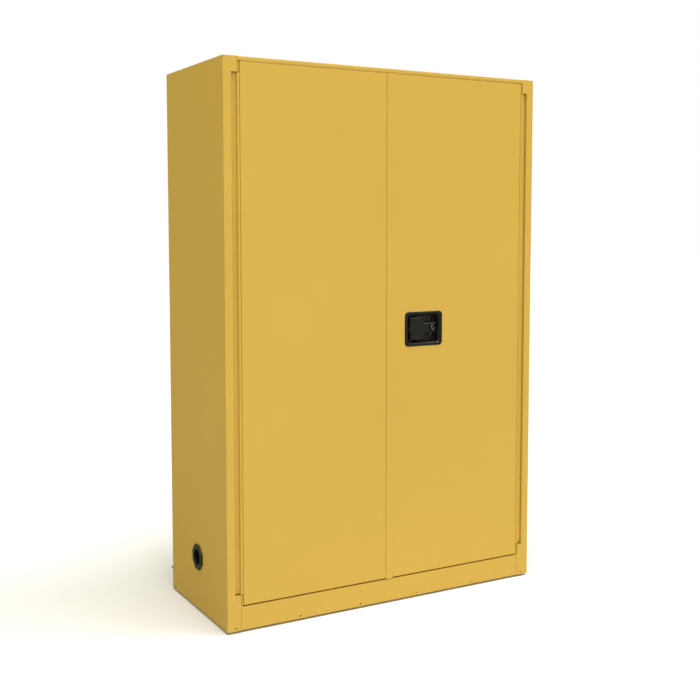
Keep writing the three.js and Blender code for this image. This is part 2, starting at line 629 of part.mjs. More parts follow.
// Latch tray: a flanged cup in the right-hand door, with ways for the paddle's tail, the hinge pin and
// the lock's cam, and a boss on the back that the hub turns on
const grow = ({ x0, x1, z0, z1, corner }, by) => ({
  x0: x0 - by,
  x1: x1 + by,
  z0: z0 - by,
  z1: z1 + by,
  corner: corner + by,
});
const pinRing = (radius, sides = 8) => circle(PADDLE_AXIS.x, PADDLE_AXIS.y, radius, sides);
add(
  "latch_tray",
  cut(
    join(
      prism("xz", roundedRectangle(TRAY), -FRONT_PROUD, -GAP),
      prism("xz", roundedRectangle(grow(CAVITY, TRAY_WALL)), -1, TRAY_DEPTH),
      prism("xz", circle(HUB.x, HUB.z, HUB.boss, 12), TRAY_DEPTH - 1, HUB_BACK + 0.8),
    ),
    prism("xz", roundedRectangle(CAVITY), -4, TRAY_DEPTH - TRAY_WALL),
    box(...TAIL.wayX, TRAY_DEPTH - 4, TRAY_DEPTH + 1, TAIL.z0 - 1, TAIL.z1 + 1),
    box(CAVITY.x1 - 1, CAVITY.x1 + 4, 13, 19, LOCK.z - 15, LOCK.z + 6),
    prism("xy", pinRing(PADDLE_AXIS.boreR), CAVITY.z0 - 4, CAVITY.z1 + 4),
  ),
  BLACK,
);

// Paddle: a raised plate with one corner cut off, and a lower arm that holds the lock. Its barrel turns
// on an upright pin, and its tail goes back through the tray to push the centre bolt.
const plateOutline = [
  [PLATE.x0, PLATE.z0],
  [PLATE.x1, PLATE.z0],
  [PLATE.x1, PLATE.z1 - PLATE.clipZ],
  [PLATE.x1 - PLATE.clipX, PLATE.z1],
  [PLATE.x0, PLATE.z1],
];
const barrelRing = circle(PADDLE_AXIS.x, PADDLE_AXIS.y, PADDLE_AXIS.barrelR, 8, Math.PI / 8);
const tailSides = [PADDLE_AXIS.x - TAIL.half, PADDLE_AXIS.x + TAIL.half];
const pocketHeights = [LOCK.z - ARM.pocket, LOCK.z + ARM.pocket];
add(
  "paddle",
  cut(
    join(
      prism("xz", plateOutline, PLATE.face, PLATE.back),
      prism("xy", barrelRing, PLATE.z0, PLATE.z1),
      box(ARM.x0, ARM.x1, ARM.y0, ARM.y1, ARM.z0, ARM.z1),
      box(...tailSides, PADDLE_AXIS.y, PADDLE_AXIS.y + TAIL.reach, TAIL.z0, TAIL.z1),
    ),
    box(ARM.x0 + 20, ARM.x1 - 2, ARM.y0 - 1, ARM.y0 + ARM.pocketDepth, ...pocketHeights),
    prism("xz", circle(LOCK.x, LOCK.z, LOCK.r + GAP, 16), 0, 14),
    prism("xy", pinRing(PADDLE_AXIS.boreR), PLATE.z0 - 7, PLATE.z1 + 5),
    prism("xy", pinRing(SPRING.roomR, 12), SPRING.z0, SPRING.z1),
  ),
  BLACK,
);
add(
  "paddle_pin",
  prism("xy", pinRing(PADDLE_AXIS.pinR), CAVITY.z0 - TRAY_WALL, CAVITY.z1 + TRAY_WALL),
  STEEL,
);

// Torsion spring round the paddle pin
class Helix extends THREE.Curve {
  constructor(radius, turns, bottom, top) {
    super();
    Object.assign(this, { radius, turns, bottom, top });
  }
  getPoint(t) {
    const angle = t * this.turns * 2 * Math.PI;
    return new THREE.Vector3(
      PADDLE_AXIS.x + this.radius * Math.cos(angle),
      PADDLE_AXIS.y + this.radius * Math.sin(angle),
      THREE.MathUtils.lerp(this.bottom, this.top, t),
    );
  }
}
const wire = new THREE.Shape(circle(0, 0, SPRING.wire, 6).map(([a, b]) => new THREE.Vector2(a, b)));
const coil = new Helix(SPRING.r, SPRING.turns, SPRING.z0 + 2, SPRING.z1 - 2);
add(
  "paddle_spring",
  new THREE.ExtrudeGeometry(wire, { steps: 8 * SPRING.turns, extrudePath: coil, bevelEnabled: false }),
  STEEL,
);

// Lock: a cylinder fixed in the paddle's arm, and a plug with a cam that turns a quarter into the tray wall
const lockRing = (r, sides = 16) => circle(LOCK.x, LOCK.z, r, sides);
add("lock_cylinder", prism("xz", lockRing(LOCK.r), LOCK.face, LOCK.back, [lockRing(LOCK.bore)]), DARK_STEEL);
const camSides = [LOCK.x - CAM.half, LOCK.x + CAM.half];
const keySides = [LOCK.x - PLUG.keyHalf, LOCK.x + PLUG.keyHalf];
const keyHeights = [LOCK.z - PLUG.keyHeight, LOCK.z + PLUG.keyHeight];
add(
  "lock_plug",
  cut(
    join(
      prism("xz", lockRing(PLUG.r), PLUG.face, PLUG.back),
      box(...camSides, CAM.y0, CAM.y1, LOCK.z - CAM.down, LOCK.z + CAM.half),
    ),
    box(...keySides, 0, PLUG.keyDepth, ...keyHeights),
  ),
  DARK_STEEL,
);

// Hub: its side pins move the rods and its bottom pin moves the centre bolt
const hubPin = (x, z, back) => prism("xz", circle(x, z, HUB.pinR, 10), HUB_BACK - 1, back);
const hubRing = (r, sides) => circle(HUB.x, HUB.z, r, sides);
add(
  "latch_hub",
  join(
    prism("xz", hubRing(HUB.r, 20), TRAY_DEPTH + 1.2, HUB_BACK, [hubRing(HUB.bore, 12)]),
    hubPin(HUB.x - HUB.pinRadius, HUB.z, ROD_DEPTH + 2),
    hubPin(HUB.x + HUB.pinRadius, HUB.z, ROD_DEPTH + 2),
    hubPin(HUB.x, HUB.z - HUB.pinRadius, BOLT.y1 + 0.2),
  ),
  STEEL,
);

// Rods: a round bar with a flat end, whose cross slot takes a hub pin
const SLOT_HALF = HUB.pinR + 0.75;
function rod(x, pinX, end, direction, tip) {
  const flat = [end - direction * 9, end + direction * ROD_FLAT].sort((a, b) => a - b);
  const round = [end + direction * (ROD_FLAT - 6), tip].sort((a, b) => a - b);
  const pinReach = HUB.pinRadius * (1 - Math.cos(THREE.MathUtils.degToRad(42)));
  const slotEnds = [pinX, pinX - Math.sign(pinX - HUB.x) * pinReach].sort((a, b) => a - b);
  const depths = [ROD_DEPTH - ROD_PLATE, ROD_DEPTH + ROD_PLATE];
  return cut(
    join(
      box(Math.min(slotEnds[0], x) - 6.5, Math.max(slotEnds[1], x) + 6.5, ...depths, ...flat),
      prism("xy", circle(x, ROD_DEPTH, ROD_R, 12), ...round),
    ),
    box(slotEnds[0] - SLOT_HALF, slotEnds[1] + SLOT_HALF, 30, 38, end - SLOT_HALF, end + SLOT_HALF),
  );
}
add("upper_rod", rod(UPPER_ROD_X, HUB.x - HUB.pinRadius, HUB.z, 1, DOOR_TOP + ROD_ENGAGE), STEEL);
add("lower_rod", rod(LOWER_ROD_X, HUB.x + HUB.pinRadius, HUB.z, -1, DOOR_BOTTOM - ROD_ENGAGE), STEEL);

// Centre bolt: the paddle's tail stands in its first slot and the hub's bottom pin in its second
const hubSlotZ = HUB.z - HUB.pinRadius;
add(
  "centre_bolt",
  cut(
    join(
      box(BOLT.tip, BOLT.end, BOLT.y0, BOLT.y1, BOLT.z0, BOLT.z1),
      box(BOLT.armX, BOLT.end, BOLT.y0, BOLT.y1, BOLT.z1 - 1, hubSlotZ + 12),
    ),
    box(PADDLE_AXIS.x - 2 * TAIL.half, PADDLE_AXIS.x + 2 * TAIL.half, 28, 33, TAIL.z0 - 1, TAIL.z1 + 1),
    box(HUB.x - SLOT_HALF, HUB.x + SLOT_HALF, 28, 33, hubSlotZ - SLOT_HALF, hubSlotZ + 5.4 + SLOT_HALF),
  ),
  STEEL,
);

// Guides that hold the rods in the door, open at the back where the door pan closes them
const guide = (x, z) =>
  cut(
    box(x - GUIDE.half, x + GUIDE.half, GUIDE.front, DOOR_THICK - SHEET - GAP, z, z + GUIDE.height),
    prism("xy", circle(x, ROD_DEPTH, ROD_R + GAP, 12), z - 1, z + GUIDE.height + 1),
  );
add("upper_rod_guide", guide(UPPER_ROD_X, GUIDE.z.upper), STEEL);
add("lower_rod_guide", guide(LOWER_ROD_X, GUIDE.z.lower), STEEL);

export default root;
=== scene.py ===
"""The looks of a two-door flammable-liquids storage cabinet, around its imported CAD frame.

Shapes are drawn in millimetres as (x, depth, z), where depth is measured back from the door fronts.
Left-hand pieces are drawn, and right-hand ones are their mirror images.
"""

import json
import math

import bmesh
import bpy
from mathutils import Euler, Matrix, Vector


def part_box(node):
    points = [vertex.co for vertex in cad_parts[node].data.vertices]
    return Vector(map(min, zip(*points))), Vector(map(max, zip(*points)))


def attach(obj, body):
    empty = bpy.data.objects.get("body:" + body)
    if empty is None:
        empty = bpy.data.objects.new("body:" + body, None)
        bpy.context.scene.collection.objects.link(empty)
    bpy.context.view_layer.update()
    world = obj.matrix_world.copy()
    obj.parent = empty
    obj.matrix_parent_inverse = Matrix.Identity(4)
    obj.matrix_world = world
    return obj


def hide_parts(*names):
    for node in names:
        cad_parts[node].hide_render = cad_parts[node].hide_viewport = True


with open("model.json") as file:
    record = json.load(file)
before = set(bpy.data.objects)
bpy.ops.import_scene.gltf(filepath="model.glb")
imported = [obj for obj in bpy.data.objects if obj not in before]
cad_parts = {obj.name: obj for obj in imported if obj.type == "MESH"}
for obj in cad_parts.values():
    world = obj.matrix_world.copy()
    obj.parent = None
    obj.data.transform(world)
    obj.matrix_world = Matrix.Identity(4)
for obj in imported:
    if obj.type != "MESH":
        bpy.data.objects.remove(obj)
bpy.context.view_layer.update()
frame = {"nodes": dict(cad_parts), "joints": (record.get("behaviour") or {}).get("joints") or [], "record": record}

MM = 0.001
SIDES = ("left", "right")


def low(node):
    """Lowest corner of a CAD node in millimetres, with y as the depth behind the door fronts."""
    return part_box(node)[0] / MM - Vector((0, FRONT, 0))


def high(node):
    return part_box(node)[1] / MM - Vector((0, FRONT, 0))


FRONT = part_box("left_door_skin")[0].y / MM
SHEET = 1.2
GAP = 0.3
MIDDLE = (low("left_side_panel").y + high("left_side_panel").y) / 2
HALF = -low("left_side_panel").x
HEIGHT = high("top_panel").z

DOOR_EDGE = -low("left_door_skin").x
DOOR_MEET = -high("left_door_skin").x
DOOR_BOTTOM = low("left_door_skin").z
DOOR_TOP = high("left_door_skin").z
DOOR_THICK = high("left_door_skin").y
HEADER_UNDER = DOOR_TOP + 2

# The hinge barrel, whose axis is the door's joint
hinge_joint = next(j for j in frame["joints"] if j["name"] == "left_door_hinge")
AXIS_X = -hinge_joint["pos_m"][0] / MM
AXIS_DEPTH = hinge_joint["pos_m"][1] / MM - FRONT
HINGE_BOTTOM = low("left_hinge_frame_leaf").z
HINGE_TOP = high("left_hinge_frame_leaf").z
BARREL_R = 4.5
LEAF = 1.6
KNUCKLE_LENGTH = 12.7
RECESS_WALL = 520
LEAF_FLAT = AXIS_DEPTH + 6.3
# How far behind the axis a rolled strip meets its leaf: 1 is the frame leaf and -1 the door leaf
STRIP_END = {1: 4.4, -1: 6.8}

# The latch
TRAY_LOW, TRAY_HIGH = low("latch_tray"), high("latch_tray")
TRAY_CORNER = 12
CAVITY = (66, 177, 816, 900)
CAVITY_CORNER = 5
TRAY_WALL = 1.8
paddle_joint = next(j for j in frame["joints"] if j["name"] == "paddle_pull")
PADDLE_X = paddle_joint["pos_m"][0] / MM
PADDLE_DEPTH = paddle_joint["pos_m"][1] / MM - FRONT
lock_joint = next(j for j in frame["joints"] if j["name"] == "lock_plug_turn")
LOCK_X, LOCK_Z = lock_joint["pos_m"][0] / MM, lock_joint["pos_m"][2] / MM
LOCK_R = 9.5
ARM_END = 171
ARM_Z = (843, 876)

# Height of each vent's axis
VENT_Z = {side: (low(side + "_vent_cap").z + high(side + "_vent_cap").z) / 2 for side in SIDES}

# The studio: the room's dimmest and brightest level, and each sun's strength
ROOM_LIGHT = (0.28, 0.50)
KEY = 0.97
EDGE = 0.9
OVERHEAD = 2.1


# Surfaces

def smooth_by_angle():
    """A node group that shades smooth, apart from edges sharper than the bends' facets."""
    group = bpy.data.node_groups.new("smooth_by_angle", "GeometryNodeTree")
    group.interface.new_socket("Geometry", in_out="INPUT", socket_type="NodeSocketGeometry")
    group.interface.new_socket("Geometry", in_out="OUTPUT", socket_type="NodeSocketGeometry")
    entry = group.nodes.new("NodeGroupInput")
    result = group.nodes.new("NodeGroupOutput")
    faces = group.nodes.new("GeometryNodeSetShadeSmooth")
    edges = group.nodes.new("GeometryNodeSetShadeSmooth")
    edges.domain = "EDGE"
    edges.inputs["Shade Smooth"].default_value = False
    angle = group.nodes.new("GeometryNodeInputMeshEdgeAngle")
    sharp = group.nodes.new("FunctionNodeCompare")
    sharp.operation = "GREATER_THAN"
    sharp.inputs[1].default_value = math.radians(35)
    group.links.new(entry.outputs[0], faces.inputs["Geometry"])
    group.links.new(faces.outputs[0], edges.inputs["Geometry"])
    group.links.new(angle.outputs["Unsigned Angle"], sharp.inputs[0])
    group.links.new(sharp.outputs[0], edges.inputs["Selection"])
    group.links.new(edges.outputs[0], result.inputs[0])
    return group


SMOOTH = smooth_by_angle()


def finish_edges(obj, width, segments=2):
    """Rounds an object's sharp edges by width millimetres and shades it without breaking its flat faces."""
    if width:
        bevel = obj.modifiers.new("rounded edges", "BEVEL")
        bevel.width = width * MM
        bevel.segments = segments
        bevel.limit_method = "ANGLE"
        bevel.angle_limit = math.radians(40)
        bevel.miter_outer = "MITER_ARC"
    obj.modifiers.new("shading", "NODES").node_group = SMOOTH
    weighted = obj.modifiers.new("flat faces", "WEIGHTED_NORMAL")
    weighted.keep_sharp = True
    weighted.weight = 100


# Mesh making, in millimetres

PLANES = {
    "xy": lambda a, b, along: (a, b, along),
    "yz": lambda a, b, along: (along, a, b),
    "xz": lambda a, b, along: (a, along, b),
}


def loft(rings, closed=False):
    """A surface through rings of points. Its ends are capped, or joined to each other if closed."""
    bm = bmesh.new()
    made = [[bm.verts.new(point) for point in ring] for ring in rings]
    pairs = list(zip(made, made[1:]))
    if closed:
        pairs.append((made[-1], made[0]))
    for near, far in pairs:
        for i in range(len(near)):
            j = (i + 1) % len(near)
            bm.faces.new((near[i], near[j], far[j], far[i]))
    if not closed:
        bm.faces.new(made[0])
        bm.faces.new(made[-1])
    bmesh.ops.recalc_face_normals(bm, faces=bm.faces)
    return bm


def prism(plane, outline, start, end):
    put = PLANES[plane]
    return loft([[put(a, b, along) for a, b in outline] for along in (start, end)])


def box(x0, x1, y0, y1, z0, z1):
    return prism("xy", [(x0, y0), (x1, y0), (x1, y1), (x0, y1)], z0, z1)


def circle(a, b, radius, sides):
    turns = (2 * math.pi * i / sides for i in range(sides))
    return [(a + radius * math.cos(t), b + radius * math.sin(t)) for t in turns]


def polygon(a, b, corner_radius, corners, sides):
    """A regular polygon, flat side up, given as a ring of sides points, so that it lofts into circles."""
    points = []
    for i in range(sides):
        t = 2 * math.pi * i / sides
        within = (t + math.pi / corners) % (2 * math.pi / corners) - math.pi / corners
        r = corner_radius * math.cos(math.pi / corners) / math.cos(within)
        points.append((a + r * math.cos(t), b + r * math.sin(t)))
    return points


def rounded(x0, x1, z0, z1, corner, steps=8):
    """A rectangle with round corners."""
    points = []
    left, right, bottom, top = x0 + corner, x1 - corner, z0 + corner, z1 - corner
    centres = ((right, top), (left, top), (left, bottom), (right, bottom))
    for quarter, (x, z) in enumerate(centres):
        for i in range(steps + 1):
            t = (quarter + i / steps) * math.pi / 2
            points.append((x + corner * math.cos(t), z + corner * math.sin(t)))
    return points


def turned(plane, a, b, profile, sides, closed=False):
    """Circles of the profile's (radius, along) about an axis square to the plane."""
    put = PLANES[plane]
    return loft([[put(p, q, along) for p, q in circle(a, b, r, sides)] for r, along in profile], closed)


def merged(*parts):
    """Several separate shells in one mesh."""
    bm = bmesh.new()
    for part in parts:
        mesh = bpy.data.meshes.new("part")
        part.to_mesh(mesh)
        part.free()
        bm.from_mesh(mesh)
        bpy.data.meshes.remove(mesh)
    return bm


def temporary(bm):
    mesh = bpy.data.meshes.new("temporary")
    bm.to_mesh(mesh)
    bm.free()
    obj = bpy.data.objects.new("temporary", mesh)
    bpy.context.scene.collection.objects.link(obj)
    return obj


def modified(bm, *steps):
    """The mesh after a list of (modifier type, settings)."""
    obj = temporary(bm)
    helpers = []
    for kind, settings in steps:
        modifier = obj.modifiers.new(kind, kind)
        for key, value in settings.items():
            if isinstance(value, bmesh.types.BMesh):
                value = temporary(value)
                value.hide_render = True
                helpers.append(value)
            setattr(modifier, key, value)
    evaluated = obj.evaluated_get(bpy.context.evaluated_depsgraph_get())
    result = bmesh.new()
    result.from_mesh(evaluated.to_mesh())
    evaluated.to_mesh_clear()
    for used in (obj, *helpers):
        mesh = used.data
        bpy.data.objects.remove(used)
        bpy.data.meshes.remove(mesh)
    return result


def combined(operation, bm, others):
    settings = {"operation": operation, "solver": "EXACT"}
    return modified(bm, *[("BOOLEAN", {**settings, "object": other}) for other in others])


def cut(bm, *cutters):
    return combined("DIFFERENCE", bm, cutters)


def joined(bm, *others):
    return combined("UNION", bm, others)


def piece(name, bm, body, slot, edge=0.0, segments=2, replaces=(), mirrored=False):
    """Makes an object of the mesh, in the row frame, riding on a body and standing for CAD nodes."""
    if mirrored:
        bm.transform(Matrix.Diagonal((-1, 1, 1, 1)))
        bmesh.ops.reverse_faces(bm, faces=bm.faces)
    bm.transform(Matrix.Scale(MM, 4) @ Matrix.Translation((0, FRONT, 0)))
    mesh = bpy.data.meshes.new(name)
    bm.to_mesh(mesh)
    bm.free()
    obj = bpy.data.objects.new(name, mesh)
    bpy.context.scene.collection.objects.link(obj)
    mesh.materials.append(FINISHES[slot])
    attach(obj, body)
    if replaces:
        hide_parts(*replaces)
    finish_edges(obj, edge, segments)
    return obj


# Materials

class Finish:
    """A material under construction: a Principled shader and helpers for the nodes that feed it."""

    def __init__(self, name, **values):
        self.material = bpy.data.materials.new(name)
        self.material.use_nodes = True
        self.tree = self.material.node_tree
        self.shader = self.tree.nodes["Principled BSDF"]
        for socket, value in values.items():
            self.shader.inputs[socket.replace("_", " ")].default_value = value
        self.where = self.add("ShaderNodeTexCoord").outputs["Object"]

    def add(self, kind, inputs=None, **settings):
        node = self.tree.nodes.new(kind)
        for key, value in settings.items():
            setattr(node, key, value)
        for key, value in (inputs or {}).items():
            if isinstance(value, bpy.types.NodeSocket):
                self.tree.links.new(value, node.inputs[key])
            else:
                node.inputs[key].default_value = value
        return node

    def noise(self, scale, detail=2.0, stretch=None):
        where = self.where
        if stretch:
            where = self.add("ShaderNodeMapping", {"Vector": where, "Scale": stretch}).outputs["Vector"]
        inputs = {"Vector": where, "Scale": scale, "Detail": detail}
        return self.add("ShaderNodeTexNoise", inputs).outputs["Fac"]

    def between(self, factor, low_value, high_value, source=(0.3, 0.7)):
        """Maps a texture's usual range to a range of values."""
        limits = {"From Min": source[0], "From Max": source[1], "To Min": low_value, "To Max": high_value}
        return self.add("ShaderNodeMapRange", {"Value": factor, **limits}).outputs["Result"]

    def blend(self, factor, first, second):
        mix = self.add("ShaderNodeMix", data_type="RGBA")
        for socket, value in zip((mix.inputs[0], mix.inputs[6], mix.inputs[7]), (factor, first, second)):
            if isinstance(value, bpy.types.NodeSocket):
                self.tree.links.new(value, socket)
            else:
                socket.default_value = value
        return mix.outputs[2]

    def bump(self, height, strength, distance, over=None):
        inputs = {"Height": height, "Strength": strength, "Distance": distance}
        if over:
            inputs["Normal"] = over
        return self.add("ShaderNodeBump", inputs).outputs["Normal"]

    def drive(self, **links):
        for socket, value in links.items():
            self.tree.links.new(value, self.shader.inputs[socket.replace("_", " ")])
        return self.material


def shade(colour, factor):
    return tuple(c * factor for c in colour) + (1.0,)


def powder_coat(name, colour, roughness):
    """Sprayed and baked coating: an orange-peel skin over sheet that is never quite flat."""
    f = Finish(name)
    cloud = f.between(f.noise(2.1, 3.0), 0.0, 1.0)
    grain = f.between(f.noise(420.0, 2.0), 0.0, 1.0)
    broad = f.blend(cloud, shade(colour, 0.975), shade(colour, 1.02))
    spray = f.blend(grain, broad, shade(colour, 1.035))
    light = f.between(grain, 0.0, 0.35, (0.0, 1.0))
    base = f.blend(light, broad, spray)
    waves = f.bump(f.noise(4.5, 1.0), 0.5, 0.0012)
    peel = f.bump(f.noise(520.0, 1.0), 0.22, 0.00012, waves)
    gloss = f.between(f.noise(160.0, 3.0), roughness - 0.04, roughness + 0.05)
    return f.drive(Base_Color=base, Roughness=gloss, Normal=peel)


def galvanised(name):
    """Hot-dip zinc: flat crystals of spangle, each a little lighter or duller than the next."""
    f = Finish(name, Metallic=1.0)
    jitter = f.add("ShaderNodeMapping", {"Vector": f.where, "Rotation": (0.35, 0.2, 0.5)}).outputs["Vector"]
    spangle = f.add("ShaderNodeTexVoronoi", {"Vector": jitter, "Scale": 85.0, "Randomness": 1.0})
    tone = f.add("ShaderNodeSeparateColor", {"Color": spangle.outputs["Color"]}).outputs[0]
    base = f.blend(tone, (0.46, 0.48, 0.49, 1), (0.68, 0.70, 0.71, 1))
    gloss = f.between(tone, 0.34, 0.5, (0.0, 1.0))
    tilt = f.bump(tone, 0.12, 0.0004)
    fine = f.bump(f.noise(900.0, 2.0), 0.12, 0.00008, tilt)
    return f.drive(Base_Color=base, Roughness=gloss, Normal=fine)


def plated_steel(name, tone):
    """Plated steel, with the fine lines that rolling leaves."""
    f = Finish(name, Metallic=1.0)
    lines = f.noise(300.0, 3.0, (1.0, 1.0, 0.06))
    dark, pale = shade((1, 1, 0.98), tone * 0.87), shade((1, 1, 0.97), tone * 1.14)
    base = f.blend(f.between(lines, 0.0, 1.0), dark, pale)
    gloss = f.between(f.noise(60.0, 3.0), 0.24, 0.38)
    return f.drive(Base_Color=base, Roughness=gloss, Normal=f.bump(lines, 0.1, 0.00005))


def black_moulding(name):
    """Glass-filled black plastic with a fine spark-eroded grain."""
    f = Finish(name)
    f.shader.inputs["Specular IOR Level"].default_value = 0.42
    grain = f.noise(2600.0, 2.0)
    cloud = f.between(f.noise(60.0, 3.0), 0.0, 1.0)
    base = f.blend(cloud, (0.0060, 0.0052, 0.0030, 1), (0.0100, 0.0088, 0.0060, 1))
    gloss = f.between(f.noise(220.0, 3.0), 0.20, 0.30)
    return f.drive(Base_Color=base, Roughness=gloss, Normal=f.bump(grain, 0.25, 0.00006))


def turned_brass(name):
    f = Finish(name, Metallic=1.0)
    tarnish = f.between(f.noise(130.0, 4.0), 0.0, 1.0)
    base = f.blend(tarnish, (0.70, 0.49, 0.20, 1), (0.52, 0.36, 0.15, 1))
    return f.drive(Base_Color=base, Roughness=f.between(tarnish, 0.24, 0.42, (0.0, 1.0)))


YELLOW = (0.603, 0.379, 0.052)
FINISHES = {
    "powder_coat": powder_coat("yellow powder coat", YELLOW, 0.40),
    "inner_powder_coat": powder_coat("inner yellow powder coat", (0.58, 0.36, 0.042), 0.46),
    "galvanised_steel": galvanised("galvanised steel"),
    "plated_steel": plated_steel("plated steel", 0.58),
    "black_plated_steel": plated_steel("black plated steel", 0.12),
    "black_plastic": black_moulding("black moulding"),
    "brass": turned_brass("turned brass"),
}


def dress_cad_nodes():
    """Gives each CAD node its slot's finish and eases its edges."""
    slots = {row["node"]: row["material_slot"] for row in frame["record"]["subparts"]}
    for name, obj in frame["nodes"].items():
        obj.data.materials.clear()
        obj.data.materials.append(FINISHES[slots[name]])
        weld = obj.modifiers.new("weld", "WELD")
        weld.merge_threshold = 0.01 * MM
        finish_edges(obj, 0.25)


# Pieces

def door_shell(side):
    """Outer skin of a door: one sheet folded back all round, open at the back."""
    bm = box(-DOOR_EDGE, -DOOR_MEET, 0, DOOR_THICK, DOOR_BOTTOM, DOOR_TOP)
    folds = [
        e for e in bm.edges
        if all(v.co.y < 1 for v in e.verts) or abs(e.verts[0].co.y - e.verts[1].co.y) > 1
    ]
    bmesh.ops.bevel(bm, geom=folds, offset=2.2, segments=5, profile=0.5, affect="EDGES")
    back = [f for f in bm.faces if all(v.co.y > DOOR_THICK - 0.01 for v in f.verts)]
    bmesh.ops.delete(bm, geom=back, context="FACES")
    bm = modified(bm, ("SOLIDIFY", {"thickness": SHEET, "offset": -1.0, "use_even_offset": True}))
    bolt_way = box(-10, 0, 28.2, 32.6, 821.5, 840.5)
    if side == "left":
        return cut(bm, bolt_way)
    x0, x1, z0, z1 = CAVITY
    margin = TRAY_WALL + 0.6
    hole = rounded(-x1 - margin, -x0 + margin, z0 - margin, z1 + margin, CAVITY_CORNER + TRAY_WALL)
    rods = [
        turned("xy", -rod_x, low("upper_rod_guide").y + 7.7, [(3.8, z - 4), (3.8, z + 4)], 24)
        for rod_x, z in ((79, DOOR_TOP), (111, DOOR_BOTTOM))
    ]
    return cut(bm, bolt_way, prism("xz", hole, -1, 4), *rods)


def make_doors():
    for side in SIDES:
        name = side + "_door_skin"
        piece(
            side + "_door_shell", door_shell(side), side + "_door", "powder_coat",
            replaces=[name], mirrored=side == "right",
        )


def make_header_lip():
    """A thin bead under the header's front edge, which closes the view into the gap over the doors."""
    reach = DOOR_EDGE - 4
    bead = box(-reach, reach, 0.3, 3.2, DOOR_TOP + 0.4, HEADER_UNDER)
    piece("header_lip", bead, "cabinet", "powder_coat")


def rolled_section(strip_end, half_thickness):
    """A hinge knuckle's section about the pin, in (x, depth): a strip rolled most of the way round."""
    centre_radius = BARREL_R - LEAF / 2
    centreline = [((-centre_radius, strip_end), (-1, 0))]
    steps = 18
    for i in range(steps + 1):
        t = math.radians(180 + 295 * i / steps)
        direction = (math.cos(t), math.sin(t))
        centreline.append(((centre_radius * direction[0], centre_radius * direction[1]), direction))

    def offset(by):
        return [(p[0] + n[0] * by, p[1] + n[1] * by) for p, n in centreline]

    return offset(half_thickness) + offset(-half_thickness)[::-1]


def knuckles(parity, facing, strip_end):
    """Every second knuckle of a hinge. facing is 1 for the frame leaf and -1 for the door leaf."""
    count = round((HINGE_TOP - HINGE_BOTTOM) / KNUCKLE_LENGTH)
    pitch = (HINGE_TOP - HINGE_BOTTOM) / count
    chamfer = 0.4
    shells = []
    for i in range(parity, count, 2):
        z0 = HINGE_BOTTOM + i * pitch + 0.15
        z1 = z0 + pitch - 0.3
        levels = ((z0, chamfer), (z0 + chamfer, 0), (z1 - chamfer, 0), (z1, chamfer))
        rings = []
        for z, less in levels:
            section = rolled_section(strip_end, LEAF / 2 - less / 2)
            rings.append([(-AXIS_X + facing * x, AXIS_DEPTH + depth, z) for x, depth in section])
        shells.append(loft(rings))
    return merged(*shells)


def hinge_plate(facing):
    """The flat of a hinge leaf, behind its knuckles."""
    near = AXIS_DEPTH + STRIP_END[facing] - 0.6
    centre = -AXIS_X - facing * (BARREL_R - LEAF / 2)
    if facing == -1:
        return box(centre - LEAF / 2, centre + LEAF / 2, near, 35, HINGE_BOTTOM, HINGE_TOP)
    outer, inner = centre - LEAF / 2, centre + LEAF / 2
    back = LEAF_FLAT
    bend = 2.4
    steps = 5
    inside, outside = [], []
    for i in range(steps + 1):
        t = math.pi / 2 * i / steps
        centre_x, centre_y = outer - (bend - LEAF), back - bend
        outside.append((centre_x + bend * math.cos(t), centre_y + bend * math.sin(t)))
        inside.append((centre_x + (bend - LEAF) * math.cos(t), centre_y + (bend - LEAF) * math.sin(t)))
    end = -RECESS_WALL + 1.5
    outline = [(inner, near), *outside, (end, back), (end, back - LEAF), *inside[::-1], (outer, near)]
    return prism("xy", outline, HINGE_BOTTOM, HINGE_TOP)


def make_hinges():
    for side in SIDES:
        mirrored = side == "right"
        for facing, parity, word, body in ((1, 0, "frame", "cabinet"), (-1, 1, "door", side + "_door")):
            leaf = joined(hinge_plate(facing), knuckles(parity, facing, STRIP_END[facing]))
            piece(
                f"{side}_hinge_{word}_knuckles", leaf, body, "powder_coat",
                replaces=[f"{side}_hinge_{word}_leaf"], mirrored=mirrored,
            )
        r, z0, z1 = 2.55, HINGE_BOTTOM - 0.5, HINGE_TOP + 0.5
        ends = [(0.4, z0), (1.7, z0 + 0.25), (r, z0 + 1.1), (r, z1 - 1.1), (1.7, z1 - 0.25), (0.4, z1)]
        piece(
            side + "_hinge_rod", turned("xy", -AXIS_X, AXIS_DEPTH, ends, 24), "cabinet", "plated_steel",
            replaces=[side + "_hinge_pin"], mirrored=mirrored,
        )


RIVET_HEAD = [(1.0, 0.0), (0.97, 0.12), (0.81, 0.27), (0.52, 0.39), (0.16, 0.44)]


def rivet_row(face, outward, spots, radius=3.2):
    """Domed rivet heads on a wall that faces along X. spots are (depth, z)."""
    shells = []
    for depth, z in spots:
        profile = [(r * radius, face + outward * (h * radius - 0.05)) for r, h in RIVET_HEAD]
        shells.append(turned("yz", depth, z, profile, 20))
    return merged(*shells)


def spread(first, last, count):
    return [first + (last - first) * i / (count - 1) for i in range(count)]


def make_rivets():
    leaf_face = -AXIS_X + BARREL_R - LEAF
    for side in SIDES:
        mirrored = side == "right"
        door = rivet_row(leaf_face, -1, [(12, z) for z in spread(141, 1576, 8)])
        piece(side + "_door_rivets", door, side + "_door", "powder_coat", mirrored=mirrored)
        wall = rivet_row(-RECESS_WALL, 1, [(3.9, z) for z in spread(126, 1586, 9)])
        piece(side + "_recess_rivets", wall, "cabinet", "powder_coat", mirrored=mirrored)
        top = rivet_row(-HALF, -1, [(MIDDLE + d, HEIGHT - 29) for d in (-175, 0, 175)], 4.2)
        piece(side + "_top_rivets", top, "cabinet", "powder_coat", mirrored=mirrored)


